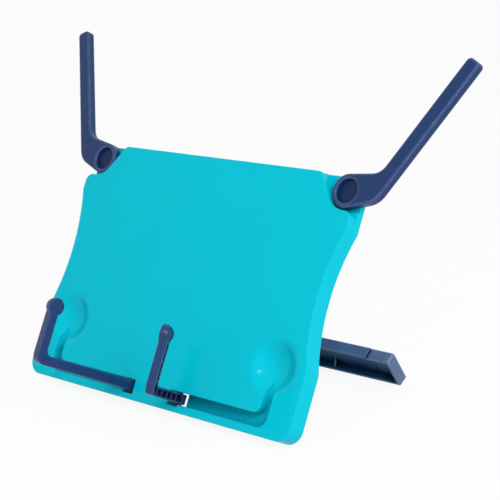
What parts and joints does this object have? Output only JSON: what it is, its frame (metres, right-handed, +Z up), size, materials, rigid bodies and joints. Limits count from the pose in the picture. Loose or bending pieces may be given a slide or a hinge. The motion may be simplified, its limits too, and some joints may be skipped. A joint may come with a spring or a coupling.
{
  "type": "folding book stand",
  "caption": "Folding tabletop book stand: leaning panel with crank page arms, swing-out page clips and a T-shaped rear leg.",
  "frame": {"origin": "middle of the flat that the rubber strip under the board rests on, on the table plane", "axes": "+X to the reader's right along the board, +Y from the reader to behind the board, +Z up"},
  "size_m": [0.3558, 0.1894, 0.2222],
  "materials": {
    "cyan_plastic": "satin moulded, fine texture",
    "navy_plastic": "satin moulded",
    "grey_rubber": "matte",
    "screw_steel": "zinc plated",
    "pin_steel": "blackened",
    "white_acetal": "natural",
    "black_acetal": "moulded"
  },
  "bodies": {
    "board": {"front_panel": "cyan_plastic", "back_cover": "cyan_plastic", "cover_screws": "screw_steel", "base_strip": "grey_rubber", "leg_hinge_pin": "pin_steel", "right_leg_washer": "white_acetal", "left_leg_washer": "white_acetal", "right_arm_screw": "screw_steel", "right_arm_washer": "white_acetal", "right_clip_pin": "pin_steel", "right_clip_washer": "black_acetal", "left_arm_screw": "screw_steel", "left_arm_washer": "white_acetal", "left_clip_pin": "pin_steel", "left_clip_washer": "black_acetal"},
    "right_arm_body": {"right_arm": "navy_plastic", "right_arm_cap": "navy_plastic"},
    "left_arm_body": {"left_arm": "navy_plastic", "left_arm_cap": "navy_plastic"},
    "right_clip_body": {"right_page_clip": "navy_plastic"},
    "left_clip_body": {"left_page_clip": "navy_plastic"},
    "rear_leg_body": {"rear_leg": "navy_plastic", "leg_feet": "grey_rubber"}
  },
  "joints": [
    {"name": "right_arm_pivot", "type": "hinge", "parent": "board", "child": "right_arm_body", "pos_m": [0.1104, 0.07225, 0.14034], "axis": [0, -0.866, 0.5], "range_deg": [-16.9, 118.1]},
    {"name": "left_arm_pivot", "type": "hinge", "parent": "board", "child": "left_arm_body", "pos_m": [-0.1104, 0.07225, 0.14034], "axis": [0, 0.866, -0.5], "range_deg": [-20.5, 114.5]},
    {"name": "right_clip_hinge", "type": "hinge", "parent": "board", "child": "right_clip_body", "pos_m": [0.022, -0.00252, 0.01192], "axis": [0, -0.5, -0.866], "range_deg": [-59.8, 40.2]},
    {"name": "left_clip_hinge", "type": "hinge", "parent": "board", "child": "left_clip_body", "pos_m": [-0.022, -0.00252, 0.01192], "axis": [0, 0.5, 0.866], "range_deg": [-78.4, 21.6]},
    {"name": "rear_leg_hinge", "type": "hinge", "parent": "board", "child": "rear_leg_body", "pos_m": [0, 0.06165, 0.09738], "axis": [-1, 0, 0], "range_deg": [0, 60]}
  ]
}
